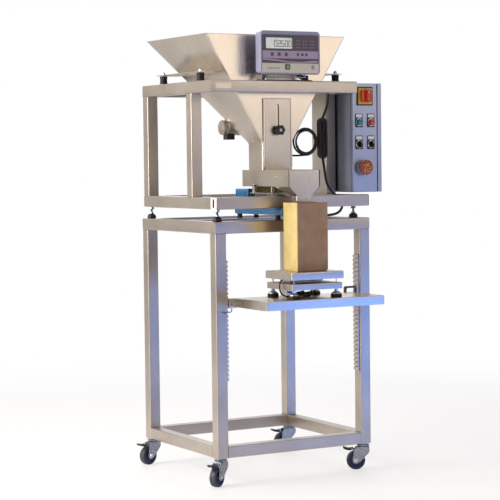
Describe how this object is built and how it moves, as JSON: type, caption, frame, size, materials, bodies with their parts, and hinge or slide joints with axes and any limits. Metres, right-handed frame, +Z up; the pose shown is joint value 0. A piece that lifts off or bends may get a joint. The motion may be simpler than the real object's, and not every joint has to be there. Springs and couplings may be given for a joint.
{
  "type": "vibratory weigh filling machine",
  "caption": "Stand-mounted bag filler: sloped hopper, vibrating feed trough and spout over a bench scale on an adjustable shelf, with control cabinet and indicator.",
  "frame": {"origin": "centre of the whole machine's footprint, on the floor under the wheels", "axes": "+Z up, -Y towards the operator, +X to the operator's right"},
  "size_m": [0.7472, 0.7523, 1.5085],
  "materials": {
    "stainless_tube": "satin ground stainless square tube",
    "brushed_sheet": "brushed stainless sheet",
    "zinc_plate": "bright zinc plated pressed steel",
    "grey_tyre": "dark blue-grey polyurethane wheel",
    "black_plastic": "matt black plastic",
    "black_rubber": "black rubber",
    "white_plug": "white plastic",
    "blue_paint": "blue enamel on cast body",
    "cabinet_steel": "satin stainless sheet",
    "indicator_casing": "pale lilac-grey plastic front",
    "red_plastic": "gloss red plastic",
    "green_plastic": "gloss green plastic",
    "orange_knob": "gloss orange-red plastic",
    "kraft_paper": "brown kraft paper",
    "aluminium_block": "machined aluminium",
    "cable_jacket": "black cable jacket"
  },
  "bodies": {
    "machine": {"stand_legs": "stainless_tube", "stand_top_ring": "stainless_tube", "upper_base_ring": "stainless_tube", "upper_cage": "stainless_tube", "end_plug_left": "white_plug", "end_plug_right": "black_plastic", "frame_foot_fl": "black_plastic", "frame_foot_fr": "black_plastic", "frame_foot_bl": "black_plastic", "frame_foot_br": "black_plastic", "shelf_rack_left": "stainless_tube", "shelf_rack_right": "stainless_tube", "hopper_shell": "brushed_sheet", "hopper_isolator_fl": "black_rubber", "hopper_isolator_bl": "black_rubber", "hopper_isolator_fr": "black_rubber", "hopper_isolator_br": "black_rubber", "hopper_vibrator": "brushed_sheet", "indicator_bracket": "stainless_tube", "cabinet_body": "cabinet_steel", "drive_base": "blue_paint", "control_cable": "cable_jacket", "vibrator_cable": "cable_jacket"},
    "caster_fl": {"caster_fork_fl": "zinc_plate"},
    "wheel_fl": {"caster_wheel_fl": "grey_tyre"},
    "brake_fl": {"caster_brake_fl": "black_plastic"},
    "caster_fr": {"caster_fork_fr": "zinc_plate"},
    "wheel_fr": {"caster_wheel_fr": "grey_tyre"},
    "brake_fr": {"caster_brake_fr": "black_plastic"},
    "caster_bl": {"caster_fork_bl": "zinc_plate"},
    "wheel_bl": {"caster_wheel_bl": "grey_tyre"},
    "brake_bl": {"caster_brake_bl": "black_plastic"},
    "caster_br": {"caster_fork_br": "zinc_plate"},
    "wheel_br": {"caster_wheel_br": "grey_tyre"},
    "brake_br": {"caster_brake_br": "black_plastic"},
    "shelf": {"shelf_tray": "brushed_sheet", "scale_base": "brushed_sheet", "load_cell": "aluminium_block", "scale_pan": "brushed_sheet", "scale_cable": "cable_jacket"},
    "lock_lever": {"shelf_lock_lever": "zinc_plate"},
    "lift_handle": {"shelf_handle": "zinc_plate"},
    "bag": {"paper_bag": "kraft_paper"},
    "gate": {"hopper_gate": "brushed_sheet"},
    "gate_clamp": {"gate_knob": "black_plastic"},
    "trough": {"feeder_trough": "brushed_sheet", "discharge_spout": "brushed_sheet", "trough_carrier": "stainless_tube"},
    "latch_left": {"trough_latch_left": "zinc_plate"},
    "latch_right": {"trough_latch_right": "zinc_plate"},
    "indicator": {"indicator_case": "indicator_casing"},
    "indicator_button": {"indicator_key": "green_plastic"},
    "door": {"cabinet_door": "cabinet_steel"},
    "main_switch": {"main_switch_knob": "red_plastic"},
    "start_button_cap": {"start_button": "green_plastic"},
    "stop_button_cap": {"stop_button": "red_plastic"},
    "selector_left_dial": {"selector_left": "black_plastic"},
    "selector_right_dial": {"selector_right": "black_plastic"},
    "stop_mushroom": {"emergency_stop": "orange_knob"}
  },
  "joints": [
    {"name": "caster_swivel_fl", "type": "hinge", "parent": "machine", "child": "caster_fl", "pos_m": [-0.3014, -0.1511, 0.085], "axis": [0, 0, 1], "continuous": true},
    {"name": "wheel_spin_fl", "type": "hinge", "parent": "caster_fl", "child": "wheel_fl", "pos_m": [-0.32369, -0.16449, 0.0325], "axis": [0.515, -0.8572, 0], "continuous": true},
    {"name": "brake_tread_fl", "type": "hinge", "parent": "caster_fl", "child": "brake_fl", "pos_m": [-0.33226, -0.16964, 0.073], "axis": [0.515, -0.8572, 0], "range_deg": [0, 12]},
    {"name": "caster_swivel_fr", "type": "hinge", "parent": "machine", "child": "caster_fr", "pos_m": [0.2626, -0.1511, 0.085], "axis": [0, 0, 1], "continuous": true},
    {"name": "wheel_spin_fr", "type": "hinge", "parent": "caster_fr", "child": "wheel_fr", "pos_m": [0.24008, -0.1381, 0.0325], "axis": [-0.5, -0.866, 0], "continuous": true},
    {"name": "brake_tread_fr", "type": "hinge", "parent": "caster_fr", "child": "brake_fr", "pos_m": [0.23142, -0.1331, 0.073], "axis": [-0.5, -0.866, 0], "range_deg": [0, 12]},
    {"name": "caster_swivel_bl", "type": "hinge", "parent": "machine", "child": "caster_bl", "pos_m": [-0.3014, 0.3529, 0.085], "axis": [0, 0, 1], "continuous": true},
    {"name": "wheel_spin_bl", "type": "hinge", "parent": "caster_bl", "child": "wheel_bl", "pos_m": [-0.32639, 0.34573, 0.0325], "axis": [0.2756, -0.9613, 0], "continuous": true},
    {"name": "brake_tread_bl", "type": "hinge", "parent": "caster_bl", "child": "brake_bl", "pos_m": [-0.336, 0.34298, 0.073], "axis": [0.2756, -0.9613, 0], "range_deg": [0, 12]},
    {"name": "caster_swivel_br", "type": "hinge", "parent": "machine", "child": "caster_br", "pos_m": [0.2626, 0.3529, 0.085], "axis": [0, 0, 1], "continuous": true},
    {"name": "wheel_spin_br", "type": "hinge", "parent": "caster_br", "child": "wheel_br", "pos_m": [0.23685, 0.35652, 0.0325], "axis": [-0.1392, -0.9903, 0], "continuous": true},
    {"name": "brake_tread_br", "type": "hinge", "parent": "caster_br", "child": "brake_br", "pos_m": [0.22695, 0.35791, 0.073], "axis": [-0.1392, -0.9903, 0], "range_deg": [0, 12]},
    {"name": "shelf_height", "type": "slide", "parent": "machine", "child": "shelf", "axis": [0, 0, 1], "range_m": [-0.235, 0.0075]},
    {"name": "shelf_lock", "type": "hinge", "parent": "shelf", "child": "lock_lever", "pos_m": [-0.255, -0.1541, 0.582], "axis": [0, 0, 1], "range_deg": [0, 70]},
    {"name": "shelf_release", "type": "slide", "parent": "shelf", "child": "lift_handle", "axis": [0, 0, 1], "range_m": [0, 0.012]},
    {"name": "bag_take_off", "type": "slide", "parent": "shelf", "child": "bag", "axis": [0, -1, 0], "range_m": [0, 0.2]},
    {"name": "gate_height", "type": "slide", "parent": "machine", "child": "gate", "axis": [0, 0, 1], "range_m": [-0.045, 0.002]},
    {"name": "gate_knob_turn", "type": "hinge", "parent": "machine", "child": "gate_clamp", "pos_m": [-0.03815, -0.1166, 1.179], "axis": [0, 1, 0], "continuous": true},
    {"name": "trough_shake", "type": "slide", "parent": "machine", "child": "trough", "axis": [0, 1, 0], "range_m": [-0.001, 0.001], "stiffness_N_per_m": 40000},
    {"name": "latch_left_swing", "type": "hinge", "parent": "trough", "child": "latch_left", "pos_m": [-0.1054, -0.0461, 0.97], "axis": [0, 1, 0], "range_deg": [-95, 0]},
    {"name": "latch_right_swing", "type": "hinge", "parent": "trough", "child": "latch_right", "pos_m": [0.0291, -0.0461, 0.97], "axis": [0, 1, 0], "range_deg": [0, 95]},
    {"name": "indicator_tilt", "type": "hinge", "parent": "machine", "child": "indicator", "pos_m": [-0.0289, -0.1391, 1.356], "axis": [1, 0, 0], "range_deg": [0, 10]},
    {"name": "indicator_key_press", "type": "slide", "parent": "indicator", "child": "indicator_button", "axis": [0, 1, 0], "range_m": [0, 0.0015], "stiffness_N_per_m": 600},
    {"name": "door_hinge", "type": "hinge", "parent": "machine", "child": "door", "pos_m": [0.3554, -0.1166, 1.152], "axis": [0, 0, 1], "range_deg": [0, 110]},
    {"name": "main_switch_turn", "type": "hinge", "parent": "door", "child": "main_switch", "pos_m": [0.3036, -0.1311, 1.296], "axis": [0, 1, 0], "range_deg": [0, 90]},
    {"name": "start_button_press", "type": "slide", "parent": "door", "child": "start_button_cap", "axis": [0, 1, 0], "range_m": [0, 0.0035], "stiffness_N_per_m": 500},
    {"name": "stop_button_press", "type": "slide", "parent": "door", "child": "stop_button_cap", "axis": [0, 1, 0], "range_m": [0, 0.0035], "stiffness_N_per_m": 500},
    {"name": "selector_left_turn", "type": "hinge", "parent": "door", "child": "selector_left_dial", "pos_m": [0.2796, -0.1261, 1.1295], "axis": [0, 1, 0], "range_deg": [-45, 45]},
    {"name": "selector_right_turn", "type": "hinge", "parent": "door", "child": "selector_right_dial", "pos_m": [0.3281, -0.1261, 1.1295], "axis": [0, 1, 0], "range_deg": [-45, 45]},
    {"name": "emergency_stop_press", "type": "slide", "parent": "door", "child": "stop_mushroom", "axis": [0, 1, 0], "range_m": [0, 0.005]}
  ]
}
